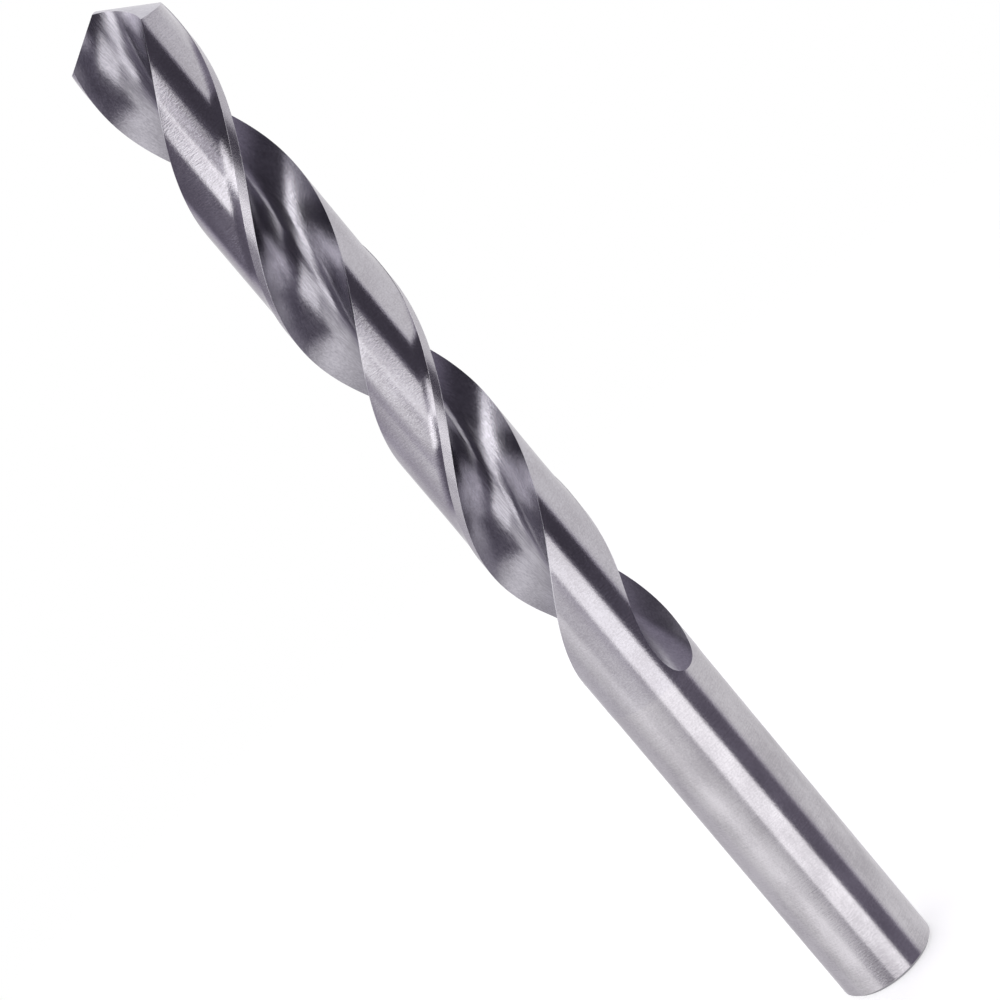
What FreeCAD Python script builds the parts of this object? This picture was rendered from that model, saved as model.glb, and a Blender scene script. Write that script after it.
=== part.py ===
import FreeCAD, Part
import os
from math import asin, atan2, cos, pi, radians, sin, sqrt, tan

Vector = FreeCAD.Vector

# Twist drill bit with a straight shank: two right-hand flutes, one piece of steel.
# Millimetres. The flat end of the shank is at z = 0, the point is at the top,
# and the first cutting lip runs outwards along +X.

# Body
drill_diameter = 16.0
overall_length = 178.0

# Shank, ground slightly under the size of the body
shank_diameter = 15.9
shank_length = 55.0
shank_chamfer = 0.6
neck_taper_length = 1.5

# Point
point_angle = radians(118.0)
web_at_point = 2.2
grind_half_angle = radians(54.0)
grind_setback = 5.0
grind_skew = 1.4

# Flutes
flute_count = 2
helix_lead = 84.5
flute_length = 121.0
flute_opening_at_point = radians(98.0)
flute_opening_loss = radians(0.065)
heel_wall_lean = radians(80.0)
heel_wall_radius = 12.0
web_growth = 0.016
run_out_length = 15.5
run_out_direction = radians(80.0)

# Lands: a narrow margin at full diameter, then a ground-back clearance
margin_width = 1.46
clearance_depth = 0.3
clearance_stop_before_flute_end = 20.0
clearance_fade = 8.0

# Construction
section_twist = radians(8.0)
overshoot = 1.6
rake_points = 7

drill_radius = drill_diameter / 2
shank_radius = shank_diameter / 2
half_point = point_angle / 2
twist_rate = 2 * pi / helix_lead
section_step = section_twist / twist_rate
clearance_length = flute_length - clearance_stop_before_flute_end


def polar(radius, bearing, height):
    return Vector(radius * cos(bearing), radius * sin(bearing), height)


def revolved(outline):
    """Solid turned about the axis from (radius, height) corners."""
    corners = [Vector(0, radius, height) for radius, height in outline]
    face = Part.Face(Part.makePolygon(corners + corners[:1]))
    return face.revolve(Vector(0, 0, 0), Vector(0, 0, 1), 360)


def grind_apex():
    """Tip of the cone that grinds the first flank, measured from the top of its lip line."""
    along_x = -grind_setback * sin(half_point)
    along_y = web_at_point / 2 + grind_skew
    return Vector(along_x, along_y, grind_setback * cos(half_point))


def grind_axis():
    tilt = half_point - grind_half_angle
    return Vector(sin(tilt), 0, -cos(tilt))


def flank_height(x, y):
    """Height of the ground flank over (x, y), from the same level as grind_apex."""
    apex = grind_apex()
    axis = grind_axis()
    dx = x - apex.x
    dy = y - apex.y
    spread = cos(grind_half_angle) ** 2
    square = axis.z ** 2 - spread
    linear = 2 * dx * axis.x * axis.z
    rest = (dx * axis.x) ** 2 - spread * (dx ** 2 + dy ** 2)
    root = sqrt(linear ** 2 - 4 * square * rest)
    return apex.z + (-linear - root) / (2 * square)


lip_reach = sqrt(drill_radius ** 2 - (web_at_point / 2) ** 2)
corner_depth = flank_height(0, 0) - flank_height(lip_reach, web_at_point / 2)
corner_bearing = asin(web_at_point / 2 / drill_radius)


def leading_edge(depth):
    """Bearing of the first land's leading edge at a depth below the point."""
    return corner_bearing - twist_rate * (depth - corner_depth)


def blank():
    """Ground bar: chamfered shank, a short taper up to the body, and the body at full diameter."""
    top = overall_length + overshoot
    outline = [
        (0, 0),
        (shank_radius - shank_chamfer, 0),
        (shank_radius, shank_chamfer),
        (shank_radius, shank_length),
        (drill_radius, shank_length + neck_taper_length),
        (drill_radius, top),
        (0, top),
    ]
    return revolved(outline)


def web_thickness(depth):
    return web_at_point + web_growth * max(depth, 0)


def flute_opening(depth):
    return flute_opening_at_point - flute_opening_loss * max(depth, 0)


def run_out_lift(depth):
    """How far the flute has drawn away from the axis as it runs out to the shank."""
    start = flute_length - run_out_length
    beyond = max(depth - start, 0)
    full_lift = drill_radius - web_thickness(flute_length) / 2
    return full_lift * (beyond / run_out_length) ** 2


def rake_bearing(radius, web):
    """Bearing of the rake wall behind the leading edge, shaped so that the ground lip is straight."""
    half_web = web / 2
    reach = sqrt(drill_radius ** 2 - half_web ** 2) - sqrt(max(radius ** 2 - half_web ** 2, 0))
    twist = twist_rate * reach / tan(half_point)
    return asin(min(half_web / radius, 1)) - twist - asin(half_web / drill_radius)


def flute_section(depth):
    """Closed outline of one flute's space: rake wall, root arc and hollow heel wall, closed outside the bar."""
    web = web_thickness(depth)
    outside = drill_radius + overshoot
    rake = []
    for index in range(rake_points):
        share = index / (rake_points - 1)
        radius = outside + (web / 2 - outside) * sin(share * pi / 2)
        rake.append(polar(radius, rake_bearing(radius, web), 0))
    root_start = rake[-1]
    facing = rake_bearing(web / 2, web)
    opening = flute_opening(depth)
    heel = polar(drill_radius, opening, 0)

    # The heel wall's wide arc ends on the heel, and the root arc runs into it without a corner
    wall_centre = heel + polar(heel_wall_radius, heel_wall_lean - pi / 2, 0)
    across = root_start - wall_centre
    room = heel_wall_radius ** 2 - across.dot(across)
    root_radius = room / (2 * (heel_wall_radius + across.dot(polar(1, facing, 0))))
    centre = root_start + polar(root_radius, facing, 0)
    meeting = atan2(centre.y - wall_centre.y, centre.x - wall_centre.x) % (2 * pi) - 2 * pi
    root_middle = centre + polar(root_radius, (facing - pi + meeting) / 2, 0)
    root_end = wall_centre + polar(heel_wall_radius, meeting, 0)
    wall_turn = heel_wall_lean - 3 * pi / 2 - overshoot / heel_wall_radius
    wall_middle = wall_centre + polar(heel_wall_radius, (meeting + wall_turn) / 2, 0)
    wall_end = wall_centre + polar(heel_wall_radius, wall_turn, 0)
    far_corner = polar(2 * drill_radius, opening / 2, 0)

    rake_curve = Part.BSplineCurve()
    rake_curve.interpolate(Points=rake, Parameters=[index / (rake_points - 1) for index in range(rake_points)])
    edges = [
        rake_curve.toShape(),
        Part.Arc(root_start, root_middle, root_end).toShape(),
        Part.Arc(root_end, wall_middle, wall_end).toShape(),
        Part.makeLine(wall_end, far_corner),
        Part.makeLine(far_corner, rake[0]),
    ]
    wire = Part.Wire(edges)
    wire.translate(polar(run_out_lift(depth), run_out_direction, 0))
    return place_section(wire, depth)


def place_section(wire, depth):
    """Turn a section drawn about its leading edge to its bearing and lift it to its height."""
    wire.rotate(Vector(0, 0, 0), Vector(0, 0, 1), leading_edge(depth) * 180 / pi)
    wire.translate(Vector(0, 0, overall_length - depth))
    return wire


def land_section(depth):
    """Closed outline round what lies behind a land's margin, as far as the flute behind it."""
    front = -margin_width / drill_radius
    land = 2 * pi / flute_count - flute_opening(depth)
    back = -land - overshoot / drill_radius
    inside = drill_radius - overshoot
    outside = drill_radius + overshoot
    middle = (front + back) / 2
    edges = [
        Part.makeLine(polar(inside, front, 0), polar(outside, front, 0)),
        Part.Arc(polar(outside, front, 0), polar(outside, middle, 0), polar(outside, back, 0)).toShape(),
        Part.makeLine(polar(outside, back, 0), polar(inside, back, 0)),
        Part.Arc(polar(inside, back, 0), polar(inside, middle, 0), polar(inside, front, 0)).toShape(),
    ]
    return place_section(Part.Wire(edges), depth)


def cleared_core():
    """Round body left by the clearance grind, flaring out to full size where the grind ends."""
    cleared_radius = drill_radius - clearance_depth
    end = overall_length - clearance_length
    below = 3 * section_step
    above = overall_length + below
    outline = [
        (0, end - below),
        (drill_radius + below * clearance_depth / clearance_fade, end - below),
        (cleared_radius, end + clearance_fade),
        (cleared_radius, above),
        (0, above),
    ]
    return revolved(outline)


def clearance_cutter():
    return helical_cutter(land_section, clearance_length).cut(cleared_core())


def helical_cutter(section, last_depth):
    """Solid swept down the helix through sections set a small twist apart."""
    depth = -2 * section_step
    sections = []
    while depth < last_depth + section_step:
        sections.append(section(depth))
        depth += section_step
    return Part.makeLoft(sections, True)


def all_round(cutter):
    """The same cutter set evenly round the axis, once for each flute."""
    turn = 360 / flute_count
    copies = []
    for index in range(flute_count):
        copy = cutter.copy()
        copy.rotate(Vector(0, 0, 0), Vector(0, 0, 1), index * turn)
        copies.append(copy)
    return copies


def flank_cone():
    """Cone whose inside is what the first flank's grind leaves standing."""
    height = 3 * overall_length
    apex = grind_apex() + Vector(0, 0, overall_length - flank_height(0, 0))
    return Part.makeCone(0, height * tan(grind_half_angle), height, apex, grind_axis())


def twist_drill():
    drill = blank()
    drill = drill.cut(all_round(clearance_cutter()))
    drill = drill.cut(all_round(helical_cutter(flute_section, flute_length)))
    for cone in all_round(flank_cone()):
        drill = drill.common(cone)
    return drill


os.makedirs("parts", exist_ok=True)
twist_drill().exportStep("parts/twist_drill.step")
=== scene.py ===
from math import asin, atan2, cos, pi, radians, sin, sqrt, tan

import bpy
from mathutils import Matrix, Vector


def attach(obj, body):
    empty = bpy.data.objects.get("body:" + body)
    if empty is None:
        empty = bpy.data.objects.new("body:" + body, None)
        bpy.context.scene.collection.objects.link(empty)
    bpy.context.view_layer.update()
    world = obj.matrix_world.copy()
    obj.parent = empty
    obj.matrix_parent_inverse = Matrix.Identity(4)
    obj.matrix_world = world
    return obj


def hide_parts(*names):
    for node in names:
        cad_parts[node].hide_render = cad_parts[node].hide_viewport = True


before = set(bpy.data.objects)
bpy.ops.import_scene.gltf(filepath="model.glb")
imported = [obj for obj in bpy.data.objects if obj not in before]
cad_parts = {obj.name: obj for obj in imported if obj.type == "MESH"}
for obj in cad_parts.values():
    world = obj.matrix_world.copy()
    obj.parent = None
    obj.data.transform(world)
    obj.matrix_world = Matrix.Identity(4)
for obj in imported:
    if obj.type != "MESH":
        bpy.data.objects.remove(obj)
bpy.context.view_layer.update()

# Sizes of the drill, in millimetres, as the solid has them
RADIUS = 8.0
LENGTH = 178.0
SHANK_RADIUS = 7.95
SHANK_LENGTH = 55.0
SHANK_CHAMFER = 0.6
NECK_TAPER = 1.5
LEAD = 84.5
FLUTE_LENGTH = 121.0
RUN_OUT = 15.5
RUN_OUT_DIRECTION = radians(80)
OPENING = radians(98)
OPENING_LOSS = radians(0.065)
HEEL_WALL_LEAN = radians(80)
HEEL_WALL_RADIUS = 12.0
WEB = 2.2
WEB_GROWTH = 0.016
MARGIN = 1.46
HALF_POINT = radians(59)
GRIND_HALF_ANGLE = radians(54)
GRIND_SETBACK = 5.0
GRIND_SKEW = 1.4

# Clearance grind of the lands. A fillet leads up to the margin, where the solid has a step
CLEARANCE_AT_MARGIN = 0.27
CLEARANCE_AT_HEEL = 0.22
LAND_WIDTH = 11.0
CLEARANCE_FILLET = 1.8
CLEARANCE_FILLET_RADIUS = 7.1
CLEARANCE_FADE_START = 84.0
CLEARANCE_FADE_LENGTH = 19.0
CLEARANCE_FADE_RISE = 1.08

# How far the cutters reach past what they cut. CUTTER_START is a depth, so it is over the point
OUTSIDE = 1.6
CUTTER_START = -3.0
FLUTE_OVERRUN = 1.2
CLEARANCE_OVERRUN = 1.5
PAST_HEEL = 1.2

# Width and height of the point cutter
FLANK_SHEET = 20.0
FLANK_RISE = 12.0

# Lean of the clearance cutter's front wall, in radians
FRONT_LEAN = 0.06

# Where a cutter's ends close: at a share of the body's radius, and at a distance outside it
INSIDE_FLUTE = 0.8
INSIDE_CLEARANCE = 0.6

# Fineness of the mesh. The bar's rows go up from the shank end, a cutter's columns by its sheets
BAR_COLUMNS = 361
BAR_ROWS = (8, 3, 12, 3, 70, 2)
FLUTE_COLUMNS = (22, 20, 16, 2, 2)
FLUTE_ROWS = 380
CLEARANCE_COLUMNS = (3, 34, 3, 24)
CLEARANCE_ROWS = 330
CLEARANCE_CROWDING = 0.55
FLANK_COLUMNS = 111
MERGE_DISTANCE = 0.004
CREASE = radians(17)

# Widths of the worn edges, which carry a painted highlight, and of soft edges in the steel's
# finish, in millimetres
LEADING_EDGE_WEAR_AND_HIGHLIGHT = 0.13
HEEL_WEAR_AND_HIGHLIGHT = 0.16
MARGIN_SOFTNESS = 0.08
MOTTLE_FADE = 14.0

METRES = 0.001
MILLIMETRES = 1000.0
TWIST = 2 * pi / LEAD
FADE_END = CLEARANCE_FADE_START + CLEARANCE_FADE_LENGTH
RUN_OUT_TOP = LENGTH - FLUTE_LENGTH + RUN_OUT

# Camera, in metres
CAMERA_PLACE = (-0.106502848, -0.339701125, 0.16749632)
CAMERA_RIGHT = (0.691353, -0.357183, -0.628053)
CAMERA_UP = (0.660995, -0.038324, 0.749411)
CAMERA_FORWARD = (0.291747, 0.933248, -0.209601)
SENSOR_WIDTH = 36.0
FOCAL_LENGTH = 93.0885

# Bearing that the camera is at, seen from the drill
FRONT = atan2(-CAMERA_FORWARD[1], -CAMERA_FORWARD[0])

# Light tent and floor, in metres. The floor fades out between two distances
TENT_RADIUS = 2.2
TENT_RINGS = 48
TENT_SIDES = 96
FLOOR_RADIUS = 0.45
FLOOR_SIDES = 128
FLOOR_DROP = 0.00002
FLOOR_FADE = (0.12, 0.42)

# Strengths of the light. A pair goes from a part's foot to its top, or from left to right
UPPER_WALL = 0.23
DARK_UPPER_WALL = 0.045
WALL_BEHIND = 0.85
DARK_BAND = 0.12
HIGH_BOX = 1.6
SCREEN = (0.16, 0.06)
FRONT_BOX = (1.36, 1.16)
LEVEL_BOX = 1.75
BESIDE_LEVEL_BOX = (0.45, 0.08)
UPPER_BOX = 1.4
FLOOR_GLOW = 0.62

# Sockets of the Mix node: its share and its two colours, and the colour that it gives
MIX_INPUTS = (0, 6, 7)
MIX_OUTPUT = 2


class Value:
    """A number, vector or geometry in a node tree. Sums and products of it add Math nodes."""

    def __init__(self, nodes, socket):
        self.nodes = nodes
        self.socket = socket

    def math(self, operation, *others):
        sockets = dict(enumerate((self,) + others))
        return self.nodes.add("ShaderNodeMath", {"operation": operation}, sockets)

    def __add__(self, other):
        return self.math("ADD", other)

    def __radd__(self, other):
        return self.math("ADD", other)

    def __sub__(self, other):
        return self.math("SUBTRACT", other)

    def __rsub__(self, other):
        return self.nodes.add("ShaderNodeMath", {"operation": "SUBTRACT"}, {0: other, 1: self})

    def __mul__(self, other):
        return self.math("MULTIPLY", other)

    def __rmul__(self, other):
        return self.math("MULTIPLY", other)

    def __truediv__(self, other):
        return self.math("DIVIDE", other)

    def __rtruediv__(self, other):
        return self.nodes.add("ShaderNodeMath", {"operation": "DIVIDE"}, {0: other, 1: self})

    def __neg__(self):
        return self.math("MULTIPLY", -1.0)

    def sin(self):
        return self.math("SINE")

    def cos(self):
        return self.math("COSINE")

    def asin(self):
        return self.math("ARCSINE")

    def root(self):
        return self.math("SQRT")

    def magnitude(self):
        return self.math("ABSOLUTE")

    def bearing(self, x):
        """Bearing of the point (x, y), where y is this value."""
        return self.math("ARCTAN2", x)

    def least(self, other):
        return self.math("MINIMUM", other)

    def most(self, other):
        return self.math("MAXIMUM", other)

    def over(self, edge):
        return self.math("GREATER_THAN", edge)


class Nodes:
    """A node tree that is written as expressions on its values."""

    def __init__(self, tree):
        self.tree = tree

    def add(self, kind, settings=None, sockets=None, output=0):
        """Adds a node and returns one of its outputs. A list feeds all its items to one socket."""
        node = self.tree.nodes.new(kind)
        for name, value in (settings or {}).items():
            setattr(node, name, value)
        for name, value in (sockets or {}).items():
            values = value if isinstance(value, list) else [value]
            for item in values:
                self.feed(node.inputs[name], item)
        return Value(self, node.outputs[output])

    def feed(self, socket, value):
        """Links a value to the socket, or sets a constant on it."""
        if isinstance(value, Value):
            self.tree.links.new(value.socket, socket)
        else:
            socket.default_value = value

    def vector(self, x, y, z):
        return self.add("ShaderNodeCombineXYZ", sockets={0: x, 1: y, 2: z})

    def parts(self, vector):
        """The x, y and z of a vector."""
        node = self.tree.nodes.new("ShaderNodeSeparateXYZ")
        self.feed(node.inputs[0], vector)
        return [Value(self, socket) for socket in node.outputs]

    def step(self, value, low, high, start=0.0, end=1.0):
        """Eases from start to end as the value goes from low to high."""
        reach = {"Value": value, "From Min": low, "From Max": high, "To Min": start, "To Max": end}
        return self.add("ShaderNodeMapRange", {"interpolation_type": "SMOOTHSTEP"}, reach)

    def mix(self, share, start, end):
        """Colour that goes from start to end as the share goes from 0 to 1."""
        ends = [colour if isinstance(colour, Value) else (*colour, 1) for colour in (start, end)]
        sockets = dict(zip(MIX_INPUTS, (share, *ends)))
        return self.add("ShaderNodeMix", {"data_type": "RGBA"}, sockets, MIX_OUTPUT)

    def show(self, shader):
        """Puts the shader on the material's surface."""
        end = self.tree.nodes.new("ShaderNodeOutputMaterial")
        self.feed(end.inputs["Surface"], shader)


class DrillTree(Nodes):
    """Geometry tree that grinds the drill out of a round bar, in millimetres."""

    def __init__(self, name):
        tree = bpy.data.node_groups.new(name, "GeometryNodeTree")
        super().__init__(tree)
        self.inputs = {}
        self.start = tree.nodes.new("NodeGroupInput")

    def socket(self, name, way, kind):
        return self.tree.interface.new_socket(name=name, in_out=way, socket_type=kind)

    def size(self, name, value):
        """Named input of the tree, with its value."""
        socket = self.socket(name, "INPUT", "NodeSocketFloat")
        socket.default_value = value
        self.inputs[socket.identifier] = value
        return Value(self, self.start.outputs[name])

    def patch(self, columns, rows, place, material):
        """Sheet of quads whose points go where place(u, v) says, with u and v from 0 to 1."""
        counts = {"Size X": 1.0, "Size Y": 1.0, "Vertices X": columns, "Vertices Y": rows}
        grid = self.add("GeometryNodeMeshGrid", sockets=counts)
        across, along, _ = self.parts(self.add("GeometryNodeInputPosition"))
        point = self.vector(*place(across + 0.5, along + 0.5))
        moved = {"Geometry": grid, "Position": point}
        sheet = self.add("GeometryNodeSetPosition", sockets=moved)
        dressed = {"Geometry": sheet, "Material": material}
        return self.add("GeometryNodeSetMaterial", sockets=dressed)

    def closed(self, sheets):
        """The sheets joined into one closed skin."""
        joined = self.add("GeometryNodeJoinGeometry", sockets={"Geometry": sheets})
        merging = {"Geometry": joined, "Distance": MERGE_DISTANCE}
        return self.add("GeometryNodeMergeByDistance", sockets=merging)

    def flipped(self, mesh):
        return self.add("GeometryNodeFlipFaces", sockets={"Mesh": mesh})

    def turned(self, geometry, angle):
        sockets = {"Geometry": geometry, "Rotation": (0, 0, angle)}
        return self.add("GeometryNodeTransform", sockets=sockets)

    def cut(self, body, cutters):
        settings = {"operation": "DIFFERENCE", "solver": "MANIFOLD"}
        return self.add("GeometryNodeMeshBoolean", settings, {"Mesh 1": body, "Mesh 2": cutters})


def blend(start, end, share):
    return start + (end - start) * share


def blend_points(start, end, share):
    return [blend(here, there, share) for here, there in zip(start, end)]


def polar(radius, bearing):
    """Point in the section plane. The bearing is a value of the tree."""
    return radius * bearing.cos(), radius * bearing.sin()


def on_arc(arc, share):
    """Point at a share of an arc: its centre, radius, first bearing and last bearing."""
    centre, radius, first, last = arc
    x, y = polar(radius, blend(first, last, share))
    return centre[0] + x, centre[1] + y


def flank_height(x, y):
    """Height of the first ground flank over (x, y), from the same level as the grind's apex."""
    apex_x = -GRIND_SETBACK * sin(HALF_POINT)
    apex_y = WEB / 2 + GRIND_SKEW
    apex_z = GRIND_SETBACK * cos(HALF_POINT)
    lean = HALF_POINT - GRIND_HALF_ANGLE
    axis_x, axis_z = sin(lean), -cos(lean)
    spread = cos(GRIND_HALF_ANGLE) ** 2
    dx, dy = x - apex_x, y - apex_y
    square = axis_z ** 2 - spread
    linear = dx * (2 * axis_x * axis_z)
    rest = (dx * axis_x) * (dx * axis_x) - (dx * dx + dy * dy) * spread
    under = linear * linear - rest * (4 * square)
    root = under.root() if isinstance(under, Value) else sqrt(under)
    return (-linear - root) * (1 / (2 * square)) + apex_z


LIP_REACH = sqrt(RADIUS ** 2 - (WEB / 2) ** 2)
TOP_LEVEL = flank_height(0.0, 0.0)
CORNER_DEPTH = TOP_LEVEL - flank_height(LIP_REACH, WEB / 2)
CORNER_BEARING = asin(WEB / 2 / RADIUS)


class Drill:
    """The drill's surfaces as a tree of named sizes. Depths are measured down from the point."""

    def __init__(self, tree, finishes):
        self.tree = tree
        self.finishes = finishes
        self.radius = tree.size("Body radius", RADIUS)
        self.length = tree.size("Overall length", LENGTH)
        self.shank_radius = tree.size("Shank radius", SHANK_RADIUS)
        self.shank_length = tree.size("Shank length", SHANK_LENGTH)
        self.chamfer = tree.size("Shank chamfer", SHANK_CHAMFER)
        self.neck = tree.size("Neck taper", NECK_TAPER)
        self.twist = tree.size("Twist per millimetre", TWIST)
        self.flute_length = tree.size("Flute length", FLUTE_LENGTH)
        self.run_out = tree.size("Run-out length", RUN_OUT)
        self.web = tree.size("Web at the point", WEB)
        self.web_growth = tree.size("Web growth", WEB_GROWTH)
        self.opening = tree.size("Flute opening", OPENING)
        self.margin = tree.size("Margin width", MARGIN)
        self.clearance = tree.size("Clearance depth", CLEARANCE_AT_MARGIN)
        self.outside = self.radius + OUTSIDE

    def leading_edge(self, depth):
        return CORNER_BEARING - (depth - CORNER_DEPTH) * self.twist

    def web_at(self, depth):
        return self.web + depth.most(0.0) * self.web_growth

    def opening_at(self, depth):
        return self.opening - depth.most(0.0) * OPENING_LOSS

    def lift_at(self, depth):
        """How far the flute has drawn away from the axis as it runs out."""
        beyond = (depth - self.flute_length + self.run_out).most(0.0) / self.run_out
        full = self.radius - (self.web + self.flute_length * self.web_growth) / 2
        return full * beyond * beyond

    def placed(self, x, y, depth):
        """A point drawn about the leading edge, in its place on the helix."""
        turn = self.leading_edge(depth)
        c, s = turn.cos(), turn.sin()
        return x * c - y * s, x * s + y * c, self.length - depth

    def lifted(self, x, y, depth):
        """A point of the flute, which lifts out of the bar as it runs out."""
        lift = self.lift_at(depth)
        x = x + lift * cos(RUN_OUT_DIRECTION)
        y = y + lift * sin(RUN_OUT_DIRECTION)
        return self.placed(x, y, depth)

    def rake_bearing(self, radius, web):
        """Bearing of the rake wall, shaped so that the ground lip is straight."""
        half = web / 2
        reach = (self.radius * self.radius - half * half).root()
        reach = reach - (radius * radius - half * half).most(0.0).root()
        twist = self.twist * reach / tan(HALF_POINT)
        return (half / radius).least(1.0).asin() - twist - (half / self.radius).asin()

    def ring(self, rows, lower, upper, finish):
        """Ring of the bar between two (radius, height) corners."""
        def place(u, v):
            radius, height = blend_points(lower, upper, v)
            x, y = polar(radius, u * (2 * pi))
            return x, y, height
        return self.tree.patch(BAR_COLUMNS, rows, place, self.finishes[finish])

    def bar(self):
        """Round bar: chamfered shank, neck taper and the body up past the point."""
        top = self.length + OUTSIDE
        corners = [
            (0.0, 0.0),
            (self.shank_radius - self.chamfer, 0.0),
            (self.shank_radius, self.chamfer),
            (self.shank_radius, self.shank_length),
            (self.radius, self.shank_length + self.neck),
            (self.radius, top),
            (0.0, top),
        ]
        finishes = ["shank end", "shank end", "shank", "shank", "land", "land"]
        stretches = zip(BAR_ROWS, corners, corners[1:], finishes)
        return self.tree.closed([self.ring(*stretch) for stretch in stretches])

    def depth_at(self, v, rows, last):
        """Depth of a row, and 1 on the two end rows that close the skin on one point."""
        row = v * (rows - 1)
        inner = ((row - 1) / (rows - 3)).most(0.0).least(1.0)
        closing = 1 - (row - 0.5).over(0.0) * (rows - 1.5 - row).over(0.0)
        return blend(CUTTER_START, last, inner), closing

    def cutter(self, rows, last, finish, move, inside, sheets):
        """Closed skin down the helix, out of sheets of (columns, point), with point(u, depth).

        Its ends close on the point inside(depth), and move puts each point in its place.
        """
        def sheet(columns, point):
            def place(u, v):
                depth, closing = self.depth_at(v, rows, last)
                x, y = blend_points(point(u, depth), inside(depth), closing)
                return move(x, y, depth)
            return self.tree.patch(columns, rows, place, self.finishes[finish])
        return self.tree.closed([sheet(columns, point) for columns, point in sheets])

    def flute_arcs(self, depth):
        """The root arc and the heel wall's wider arc, which meet without a corner."""
        web = self.web_at(depth)
        half = web / 2
        bearing = self.rake_bearing(half, web)
        start = polar(half, bearing)
        heel = polar(self.radius, self.opening_at(depth))
        inward = HEEL_WALL_LEAN - pi / 2
        wall_x = heel[0] + HEEL_WALL_RADIUS * cos(inward)
        wall_y = heel[1] + HEEL_WALL_RADIUS * sin(inward)
        gap_x, gap_y = start[0] - wall_x, start[1] - wall_y
        facing = gap_x * bearing.cos() + gap_y * bearing.sin()
        room = HEEL_WALL_RADIUS ** 2 - gap_x * gap_x - gap_y * gap_y
        tight = room / ((facing + HEEL_WALL_RADIUS) * 2)
        root_x = start[0] + tight * bearing.cos()
        root_y = start[1] + tight * bearing.sin()
        meeting = (root_y - wall_y).bearing(root_x - wall_x)
        meeting = meeting - meeting.over(0.0) * (2 * pi)
        wall_end = HEEL_WALL_LEAN - 3 * pi / 2 - OUTSIDE / HEEL_WALL_RADIUS
        root = (root_x, root_y), tight, bearing - pi, meeting
        wall = (wall_x, wall_y), HEEL_WALL_RADIUS, meeting, wall_end
        return root, wall

    def flute(self):
        """Space of one flute: rake wall, root arc, heel wall, and two sheets outside the bar."""
        def rake(u, depth):
            web = self.web_at(depth)
            radius = blend(self.outside, web / 2, (u * (pi / 2)).sin())
            return polar(radius, self.rake_bearing(radius, web))

        def root(u, depth):
            return on_arc(self.flute_arcs(depth)[0], u)

        def heel_wall(u, depth):
            return on_arc(self.flute_arcs(depth)[1], u)

        def far_corner(depth):
            return polar(self.radius * 2, self.opening_at(depth) / 2)

        def over_heel(u, depth):
            return blend_points(heel_wall(1.0, depth), far_corner(depth), u)

        def over_rake(u, depth):
            end = polar(self.outside, self.rake_bearing(self.outside, self.web_at(depth)))
            return blend_points(far_corner(depth), end, u)

        def inside(depth):
            return polar(self.radius * INSIDE_FLUTE, self.opening_at(depth) / 2)

        sheets = zip(FLUTE_COLUMNS, (rake, root, heel_wall, over_heel, over_rake))
        last = FLUTE_LENGTH + FLUTE_OVERRUN
        return self.cutter(FLUTE_ROWS, last, "flute", self.lifted, inside, sheets)

    def land_clearance(self):
        """What the clearance grind takes off a land behind its margin."""
        def bearings(depth):
            land = pi - self.opening_at(depth)
            return -self.margin / self.radius, -land - PAST_HEEL / self.radius

        def floor(u, depth):
            """Ground surface, its columns crowded towards the margin."""
            front, back = bearings(depth)
            share = (1 - CLEARANCE_CROWDING) * u + CLEARANCE_CROWDING * u * u
            across = (back - front) * share * (-self.radius)
            rising = (CLEARANCE_FILLET - across).most(0.0) / CLEARANCE_FILLET_RADIUS
            fillet = CLEARANCE_FILLET_RADIUS * (1 - (1 - rising * rising).root())
            slope = (CLEARANCE_AT_MARGIN - CLEARANCE_AT_HEEL) / LAND_WIDTH
            fade = self.tree.step(depth, CLEARANCE_FADE_START, FADE_END)
            below = self.clearance - across * slope - fillet
            below = below * (1 - fade * CLEARANCE_FADE_RISE)
            return polar(self.radius - below, blend(front, back, share))

        def front_wall(u, depth):
            start = polar(self.outside, bearings(depth)[0] + FRONT_LEAN)
            return blend_points(start, floor(0.0, depth), u)

        def back_wall(u, depth):
            end = polar(self.outside, bearings(depth)[1])
            return blend_points(floor(1.0, depth), end, u)

        def roof(u, depth):
            front, back = bearings(depth)
            return polar(self.outside, blend(back, front + FRONT_LEAN, u))

        def inside(depth):
            front, back = bearings(depth)
            return polar(self.radius + INSIDE_CLEARANCE, (front + back) / 2)

        sheets = zip(CLEARANCE_COLUMNS, (front_wall, floor, back_wall, roof))
        last = FADE_END + CLEARANCE_OVERRUN
        skin = self.cutter(CLEARANCE_ROWS, last, "land", self.placed, inside, sheets)
        return self.tree.flipped(skin)

    def flank_grind(self):
        """What the point grind takes off over one flank."""
        def place(u, v):
            x, y = (u - 0.5) * FLANK_SHEET, (v - 0.5) * FLANK_SHEET
            return x, y, self.length - TOP_LEVEL + flank_height(x, y)
        flank = self.tree.patch(FLANK_COLUMNS, FLANK_COLUMNS, place, self.finishes["point"])
        up = self.tree.vector(0.0, 0.0, FLANK_RISE)
        raised = {"Mesh": flank, "Offset": up, "Individual": False}
        above = self.tree.add("GeometryNodeExtrudeMesh", {"mode": "FACES"}, raised)
        return self.tree.closed([above, self.tree.flipped(flank)])

    def ground(self):
        """The whole drill. Each cutter cuts twice, half a turn apart."""
        body = self.bar()
        for cutter in (self.land_clearance(), self.flute(), self.flank_grind()):
            body = self.tree.cut(body, [cutter, self.tree.turned(cutter, pi)])
        return body


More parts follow.
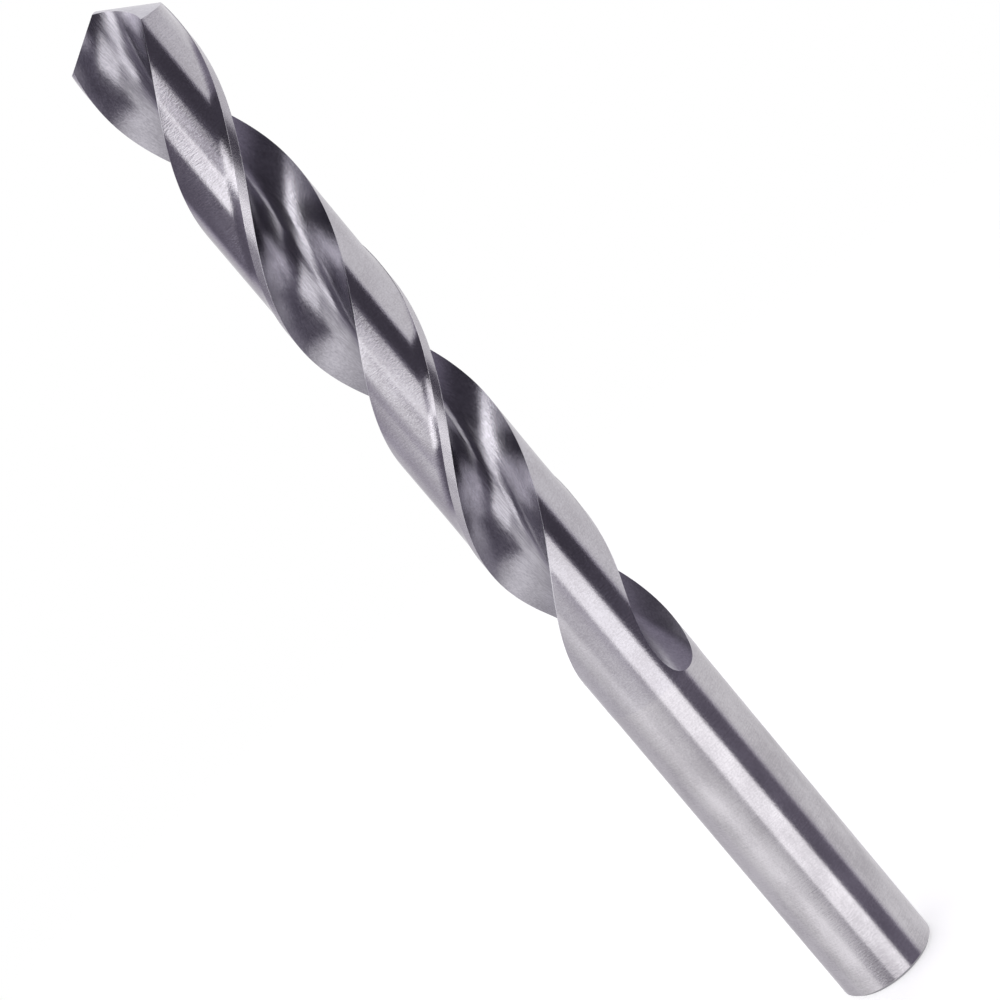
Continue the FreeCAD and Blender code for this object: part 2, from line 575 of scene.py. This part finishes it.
def grinding_tree(finishes):
    """Tree of the ground drill in metres, smooth between its creases, with its end dressed."""
    tree = DrillTree("Twist drill")
    tree.socket("Geometry", "OUTPUT", "NodeSocketGeometry")
    body = Drill(tree, finishes).ground()
    smoothing = {"Geometry": body, "Shade Smooth": True}
    smooth = tree.add("GeometryNodeSetShadeSmooth", {"domain": "FACE"}, smoothing)
    crease = tree.add("GeometryNodeInputMeshEdgeAngle").over(CREASE)
    creasing = {"Geometry": smooth, "Selection": crease, "Shade Smooth": False}
    creased = tree.add("GeometryNodeSetShadeSmooth", {"domain": "EDGE"}, creasing)
    scaling = {"Geometry": creased, "Scale": (METRES, METRES, METRES)}
    metres = tree.add("GeometryNodeTransform", sockets=scaling)
    real = tree.add("GeometryNodeRealizeInstances", sockets={"Geometry": metres})
    _, _, level = tree.parts(tree.add("GeometryNodeInputPosition"))
    in_end = level.math("LESS_THAN", SHANK_CHAMFER * METRES)
    dressing = {"Geometry": real, "Selection": in_end, "Material": finishes["shank end"]}
    dressed = tree.add("GeometryNodeSetMaterial", sockets=dressing)
    end = tree.tree.nodes.new("NodeGroupOutput")
    tree.feed(end.inputs[0], dressed)
    return tree


def keep_used_materials(mesh):
    """Drops the material slots that no face uses."""
    slots = [0] * len(mesh.polygons)
    mesh.polygons.foreach_get("material_index", slots)
    used = sorted(set(slots))
    kept = [mesh.materials[slot] for slot in used]
    places = {slot: place for place, slot in enumerate(used)}
    mesh.materials.clear()
    for material in kept:
        mesh.materials.append(material)
    mesh.polygons.foreach_set("material_index", [places[slot] for slot in slots])


def add_object(name, data):
    item = bpy.data.objects.new(name, data)
    bpy.context.collection.objects.link(item)
    return item


def make_drill(finishes):
    """One mesh of the whole drill, ground by its geometry tree."""
    tree = grinding_tree(finishes)
    seed = add_object("drill_seed", bpy.data.meshes.new("drill_seed"))
    modifier = seed.modifiers.new("Grinding", "NODES")
    modifier.node_group = tree.tree
    for identifier, value in tree.inputs.items():
        modifier[identifier] = value
    graph = bpy.context.evaluated_depsgraph_get()
    mesh = bpy.data.meshes.new_from_object(seed.evaluated_get(graph))
    bpy.data.objects.remove(seed)
    mesh.name = "ground_twist_drill"
    keep_used_materials(mesh)
    return add_object("ground_twist_drill", mesh)


def new_material(name):
    material = bpy.data.materials.new(name)
    material.use_nodes = True
    return material


class Steel(Nodes):
    """Material tree of one ground surface, with the point on the drill in millimetres.

    Along and across are its distances from the axis, towards the nearer leading edge and square
    to that. Behind is its angle behind that edge.
    """

    def __init__(self, name):
        self.material = new_material(name)
        super().__init__(self.material.node_tree)
        place = self.add("ShaderNodeTexCoord", output="Object")
        self.x, self.y, self.z = [part * MILLIMETRES for part in self.parts(place)]
        self.round = (self.x * self.x + self.y * self.y).root()
        edge = CORNER_BEARING - (LENGTH - CORNER_DEPTH - self.z) * TWIST
        along = self.x * edge.cos() + self.y * edge.sin()
        across = self.y * edge.cos() - self.x * edge.sin()
        side = along.math("SIGN")
        self.along = along * side
        self.across = across * side
        self.behind = -(self.across / self.round.most(0.1)).asin()

    def stretched(self, across, along):
        """The point, with its distances multiplied across and along the drill."""
        return self.vector(self.x * across, self.y * across, self.z * along)

    def noise(self, vector, scale, detail=2.0, roughness=0.5):
        """Grain from 0 to 1, about a half on average."""
        sockets = {"Vector": vector, "Scale": scale, "Detail": detail, "Roughness": roughness}
        return self.add("ShaderNodeTexNoise", {"noise_dimensions": "3D"}, sockets)

    def finish(self, colour, roughness, height, depth):
        """Feeds the shader. The bump's height is worked in millimetres, times the depth."""
        bump = {"Strength": 1.0, "Distance": depth * METRES, "Height": height}
        shader = self.tree.nodes["Principled BSDF"]
        self.feed(shader.inputs["Metallic"], 1.0)
        self.feed(shader.inputs["Base Color"], colour)
        self.feed(shader.inputs["Roughness"], roughness)
        self.feed(shader.inputs["Normal"], self.add("ShaderNodeBump", sockets=bump))
        return self.material


def near(value, middle, reach):
    """1 at the middle, falling to 0 at the reach on both sides."""
    return (1 - (value - middle).magnitude() / reach).most(0.0)


def edge_wear_and_highlight(steel):
    """1 on the corners of a land, its leading edge and its heel: rougher there as wear, and
    lighter in colour as a painted highlight.
    """
    depth = LENGTH - steel.z
    on_body = steel.step(steel.z, RUN_OUT_TOP - 2, RUN_OUT_TOP + 3)
    back = steel.behind * RADIUS
    heel = (pi - OPENING + depth * OPENING_LOSS) * RADIUS
    rub = steel.noise(steel.stretched(1.0, 1.0), 1.7, 3.0)
    corners = near(back, 0.0, LEADING_EDGE_WEAR_AND_HIGHLIGHT).most(near(back - heel, 0.0, HEEL_WEAR_AND_HIGHLIGHT))
    return (corners * (0.35 + rub) * 2.2).least(1.0) * on_body


def flute_steel():
    """The heel side is painted brighter than the rake side, as painted light on the heel side and
    painted shade on the rake side, and the run-out is more matt.
    """
    steel = Steel("ground flute steel")
    hair = steel.noise(steel.stretched(4.6, 0.26), 1.0, 4.0, 0.62)
    fine = steel.noise(steel.stretched(11.0, 0.9), 1.0, 2.0)
    cloud = steel.noise(steel.stretched(1.0, 0.5), 0.45, 3.0)
    path = steel.vector(steel.along * 3.4, steel.across * 3.4, steel.z * 0.03)
    wheel = steel.noise(path, 1.0, 2.0)
    tone = steel.step(hair * 0.6 + fine * 0.2 + cloud * 0.3, 0.36, 0.74)
    # Painted shade and light: the rake side's colour is darker and the heel side's lighter,
    # standing in for the light that the flute's walls mirror.
    rake = steel.mix(tone, (0.37, 0.36, 0.392), (0.55, 0.537, 0.577))
    heel = steel.mix(tone, (0.51, 0.498, 0.538), (0.75, 0.734, 0.783))
    heel_side_painted_light = steel.step(steel.across.magnitude(), 2.0, 4.8)
    colour = steel.mix(heel_side_painted_light, rake, heel)
    run_out = steel.step(steel.z, RUN_OUT_TOP + 4, RUN_OUT_TOP - 3)
    roughness = 0.115 + hair * 0.09 + cloud * 0.06 + run_out * 0.16
    return steel.finish(colour, roughness, hair + fine * 0.3 + wheel * 0.4, 0.011)


def land_steel():
    """Ground bright, with a rubbed margin, and worn corners that carry a painted highlight."""
    steel = Steel("ground land steel")
    lines = steel.noise(steel.stretched(0.8, 7.0), 1.0, 3.0)
    grain = steel.noise(steel.stretched(1.0, 1.0), 3.6, 4.0, 0.6)
    cloud = steel.noise(steel.stretched(1.0, 0.5), 0.33, 3.0)
    wear_and_highlight = edge_wear_and_highlight(steel)
    depth = LENGTH - steel.z
    back = steel.behind * RADIUS
    margin = steel.step(back, MARGIN + MARGIN_SOFTNESS, MARGIN - MARGIN_SOFTNESS)
    margin = margin * steel.step(back, -0.3, 0.0)
    margin = margin * steel.step(depth, FADE_END, CLEARANCE_FADE_START)
    tone = steel.step(grain * 0.55 + lines * 0.25 + cloud * 0.35, 0.42, 0.76)
    plain = steel.mix(tone, (0.55, 0.532, 0.56), (0.70, 0.685, 0.72))
    rubbed = steel.mix(margin * 0.45, plain, (0.78, 0.765, 0.79))
    # Painted highlight: the worn corners are made lighter in colour, as the light that a rounded
    # edge catches.
    colour = steel.mix(wear_and_highlight, rubbed, (0.88, 0.87, 0.90))
    roughness = 0.07 + grain * 0.1 + cloud * 0.04 + wear_and_highlight * 0.3 + margin * 0.13
    return steel.finish(colour, roughness, grain + lines * 0.5, 0.0085)


def shank_steel():
    """Ground round, mottled and lightly scratched. The mottling fades towards the neck."""
    steel = Steel("ground shank steel")
    turned = steel.noise(steel.stretched(0.35, 8.0), 1.0, 3.0)
    grain = steel.noise(steel.stretched(1.0, 1.0), 3.2, 4.0, 0.62)
    cloud = steel.noise(steel.stretched(1.0, 0.4), 0.25, 3.0)
    bearing = steel.y.bearing(steel.x)
    scuff = steel.noise(steel.vector(bearing * 9.0, steel.z * 0.55, 3.0), 1.0, 2.0)
    scratch = steel.step(scuff, 0.735, 0.76)
    off_neck = steel.step(steel.z, SHANK_LENGTH, SHANK_LENGTH - MOTTLE_FADE)
    mottle = (cloud - 0.5) * (off_neck * 0.6 + 0.1)
    tone = steel.step(grain * 0.45 + turned * 0.25 + mottle, 0.15, 0.54)
    plain = steel.mix(tone, (0.52, 0.503, 0.525), (0.73, 0.712, 0.735))
    colour = steel.mix(scratch * 0.5, plain, (0.82, 0.80, 0.83))
    roughness = 0.07 + grain * 0.09 + turned * 0.05 + scratch * 0.15
    return steel.finish(colour, roughness, grain + turned * 0.5 + scratch * 0.6, 0.0075)


def end_steel():
    """Turned in rings, darker at the chamfer."""
    steel = Steel("turned end steel")
    rings = steel.noise(steel.vector(steel.round * 5.0, steel.z * 5.0, 0.0), 1.0, 3.0)
    grain = steel.noise(steel.stretched(1.0, 1.0), 2.4, 4.0, 0.6)
    tone = steel.step(rings * 0.6 + grain * 0.4, 0.35, 0.7)
    plain = steel.mix(tone, (0.40, 0.39, 0.41), (0.58, 0.57, 0.60))
    chamfer = SHANK_RADIUS - SHANK_CHAMFER
    rim = steel.step(steel.round, chamfer, SHANK_RADIUS - SHANK_CHAMFER * 0.6)
    colour = steel.mix(rim * 0.6, plain, (0.2, 0.195, 0.215))
    return steel.finish(colour, 0.24 + grain * 0.16, rings + grain * 0.4, 0.02)


def point_steel():
    """The flanks, ground in lines along the lip."""
    steel = Steel("ground point steel")
    path = steel.vector(steel.along * 0.5, steel.across * 7.0, steel.z * 0.5)
    arcs = steel.noise(path, 1.0, 3.0)
    grain = steel.noise(steel.stretched(1.0, 1.0), 3.4, 3.0)
    tone = steel.step(arcs * 0.6 + grain * 0.4, 0.36, 0.7)
    colour = steel.mix(tone, (0.60, 0.59, 0.64), (0.76, 0.75, 0.80))
    return steel.finish(colour, 0.17 + arcs * 0.1, arcs + grain * 0.3, 0.009)


class Tent(Nodes):
    """Material tree of the light tent, with masks that are 1 on its parts.

    Sides and heights are in degrees, seen from the drill's foot. Side 0 is towards the camera,
    sides grow anticlockwise seen from above, and height 0 is level.
    """

    def __init__(self, name):
        self.material = new_material(name)
        super().__init__(self.material.node_tree)
        self.tree.nodes.clear()
        x, y, z = self.parts(self.add("ShaderNodeTexCoord", output="Object"))
        front = y * sin(FRONT) + x * cos(FRONT)
        aside = y * cos(FRONT) - x * sin(FRONT)
        self.side = aside.bearing(front) * (180 / pi)
        self.height = z.bearing((x * x + y * y).root()) * (180 / pi)

    def between(self, value, low, high, soft_low, soft_high):
        """1 from low to high, easing over the soft width at each end."""
        rise = self.step(value - low, -soft_low / 2, soft_low / 2)
        fall = self.step(value - high, -soft_high / 2, soft_high / 2)
        return rise * (1 - fall)

    def lower_wall(self):
        """Strength of the wall all round, brightest in front to the left."""
        left = self.step(self.side, -118, -52) * 0.4
        front = self.step(self.side, -44, -16) * 0.26
        return 0.62 + left - front + self.step(self.side, -150, -180) * 0.33

    def upper_wall(self):
        """All above level, from a little higher up on the right."""
        return self.step(self.height - self.step(self.side, 54, 70) * 5, -1, 5)

    def dark_upper_wall(self):
        """Darker stretch of the upper wall, in front and to the right."""
        return self.upper_wall() * self.between(self.side, -12, 62, 14, 60)

    def wall_behind(self):
        """Bright stretch of the upper wall, behind the drill."""
        sides = self.step(self.side, 112, 140) + self.step(self.side, -135, -160)
        return sides * self.step(self.height, -4, 6)

    def dark_band(self):
        """Slanted dark band between the lights, lighter at the heights that the lands mirror."""
        side, height = self.side, self.height
        top = 12 - (side + 70).most(0.0) * 0.15
        foot = -7 - (side + 72).most(0.0) * 0.82 + (side + 25).most(0.0) * 0.24
        band = (1 - self.step(height - top, -4, 6)) * self.step(height - foot, -5, 5)
        band = band * self.between(side, -126, 64, 24, 30)
        lighter = self.between(height, -9, -2, 3, 4) * (self.step(side, -72, -34) * 0.4 + 0.35)
        lighter = lighter + self.between(height, -16, -9, 3, 3) * 0.55
        lighter = (lighter + self.between(height, -25.5, -16, 2, 3) * 0.84).least(0.84)
        return band * (1 - lighter * (1 - self.step(side, 18, 26)))

    def high_box(self):
        """High softbox to the left. Its foot slants down to both sides."""
        side, height = self.side, self.height
        foot = 28 - (side + 66).most(0.0) * 0.5 - (-98 - side).most(0.0) * 0.5
        box = self.step(height - foot, -4, 5) * (1 - self.step(height, 44, 58))
        return box * self.between(side, -124, -13, 20, 12) * self.step(height, 9, 14)

    def screen(self):
        """Dark screen to the right."""
        return self.between(self.side, 29, 65, 4, 8) * (1 - self.step(self.height, 14, 24))

    def front_box(self):
        """Softbox in front and below, wider towards its foot."""
        side, height = self.side, self.height
        above = (height + 14).most(0.0)
        left = -15 - above * above * 0.036
        right = 22 + (-height - 6).most(0.0) * 0.33
        foot = -26.5 - (side + 14).most(0.0).least(40.0) * 0.1
        box = self.step(side - left, -2, 3) * (1 - self.step(side - right, -4, 3))
        return box * self.step(height - foot, -2, 2) * (1 - self.step(height, -5, -2))

    def level_box(self):
        """Level softbox in front, to the left."""
        level = self.between(self.height, -3.8, 2.5, 2.5, 2)
        return self.between(self.side, -50, -13, 8, 10) * level

    def beside_level_box(self):
        """Wall to the right of the level softbox, darker to the right."""
        level = self.between(self.height, -4.6, 2.5, 3, 2)
        return self.between(self.side, -8, 32, 8, 8) * level

    def upper_box(self):
        """Softbox in front, leaning to the left as it climbs."""
        leaning = self.side + (self.height - 6).most(0.0) * 2.6
        box = self.step(leaning, -21, -15) * (1 - self.step(leaning, 15, 23))
        return box * self.between(self.height, 3.5, 15, 2, 5)

    def light(self, strength):
        """Gives the tent this light, white where it is strong and violet where it is weak."""
        colour = self.mix(self.step(strength, 0.0, 0.8), (1.06, 0.95, 1.26), (1.0, 0.985, 1.01))
        glow = {"Color": colour, "Strength": strength}
        self.show(self.add("ShaderNodeEmission", sockets=glow))
        return self.material


def tent_light():
    """White tent with softboxes in front and high to the left, and dark screens about them."""
    tent = Tent("light tent")
    strength = tent.lower_wall()
    panels = [
        (UPPER_WALL, tent.upper_wall()),
        (DARK_UPPER_WALL, tent.dark_upper_wall()),
        (WALL_BEHIND, tent.wall_behind()),
        (DARK_BAND, tent.dark_band()),
        (HIGH_BOX, tent.high_box()),
        (tent.step(tent.height, -19, -12, *SCREEN), tent.screen()),
        (tent.step(tent.height, -17, -11, *FRONT_BOX), tent.front_box()),
        (LEVEL_BOX, tent.level_box()),
        (tent.step(tent.side, -2, 14, *BESIDE_LEVEL_BOX), tent.beside_level_box()),
        (UPPER_BOX, tent.upper_box()),
    ]
    for panel, mask in panels:
        strength = blend(strength, panel, mask)
    return tent.light(strength)


def studio_shell():
    """Round tent about the whole studio. It lights the steel, and the camera looks through it."""
    points = []
    for ring in range(1, TENT_RINGS):
        tilt = pi * ring / TENT_RINGS
        out = TENT_RADIUS * sin(tilt)
        for turn in range(TENT_SIDES):
            angle = 2 * pi * turn / TENT_SIDES
            points.append((out * cos(angle), out * sin(angle), TENT_RADIUS * cos(tilt)))
    top, bottom = len(points), len(points) + 1
    points += [(0, 0, TENT_RADIUS), (0, 0, -TENT_RADIUS)]
    faces = []
    last = (TENT_RINGS - 2) * TENT_SIDES
    for turn in range(TENT_SIDES):
        after = (turn + 1) % TENT_SIDES
        faces.append((top, after, turn))
        faces.append((bottom, last + turn, last + after))
        for row in range(0, last, TENT_SIDES):
            below = row + TENT_SIDES
            faces.append((row + turn, row + after, below + after, below + turn))
    shell = bpy.data.meshes.new("light_tent")
    shell.from_pydata(points, [], faces)
    shell.materials.append(tent_light())
    tent = add_object("light_tent", shell)
    tent.visible_camera = False
    tent.visible_shadow = False


def floor_material():
    """Pale floor that keeps the drill's soft shadow and fades into the white background."""
    material = new_material("pale floor")
    nodes = Nodes(material.node_tree)
    nodes.tree.nodes.clear()
    place = nodes.add("ShaderNodeTexCoord", output="Object")
    distance = nodes.add("ShaderNodeVectorMath", {"operation": "LENGTH"}, {0: place}, "Value")
    seen = nodes.add("ShaderNodeLightPath", output="Is Camera Ray")
    for ray in ("Is Glossy Ray", "Is Transmission Ray"):
        seen = seen + nodes.add("ShaderNodeLightPath", output=ray)
    matt = nodes.add("ShaderNodeBsdfDiffuse", sockets={"Color": (0.9, 0.9, 0.91, 1)})
    white = {"Color": (1, 1, 1, 1), "Strength": seen * FLOOR_GLOW}
    glow = nodes.add("ShaderNodeEmission", sockets=white)
    paint = nodes.add("ShaderNodeAddShader", sockets={0: matt, 1: glow})
    clear = nodes.add("ShaderNodeBsdfTransparent")
    fade = nodes.step(distance, *FLOOR_FADE)
    nodes.show(nodes.add("ShaderNodeMixShader", sockets={0: fade, 1: paint, 2: clear}))
    return material


def pale_floor():
    """Round floor under the drill, which the steel doesn't mirror."""
    material = floor_material()
    turns = [2 * pi * side / FLOOR_SIDES for side in range(FLOOR_SIDES)]
    rim = [(FLOOR_RADIUS * cos(turn), FLOOR_RADIUS * sin(turn), -FLOOR_DROP) for turn in turns]
    mesh = bpy.data.meshes.new("pale_floor")
    mesh.from_pydata(rim, [], [tuple(range(FLOOR_SIDES))])
    mesh.materials.append(material)
    floor = add_object("pale_floor", mesh)
    floor.visible_glossy = False


def white_world():
    world = bpy.data.worlds.new("studio")
    bpy.context.scene.world = world
    world.use_nodes = True
    world.node_tree.nodes["Background"].inputs[0].default_value = (1, 1, 1, 1)


def set_camera():
    """Camera at the photo's viewing angle."""
    data = bpy.data.cameras.new("camera")
    data.sensor_width = SENSOR_WIDTH
    data.lens = FOCAL_LENGTH
    camera = add_object("camera", data)
    backward = -Vector(CAMERA_FORWARD)
    axes = Matrix((Vector(CAMERA_RIGHT), Vector(CAMERA_UP), backward)).transposed()
    camera.matrix_world = Matrix.Translation(Vector(CAMERA_PLACE)) @ axes.to_4x4()
    bpy.context.scene.camera = camera
    bpy.context.scene.view_settings.view_transform = "Standard"


finishes = {
    "shank": shank_steel(),
    "shank end": end_steel(),
    "land": land_steel(),
    "flute": flute_steel(),
    "point": point_steel(),
}
drill = make_drill(finishes)
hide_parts("twist_drill")
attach(drill, "root")

studio_shell()
pale_floor()
white_world()
set_camera()
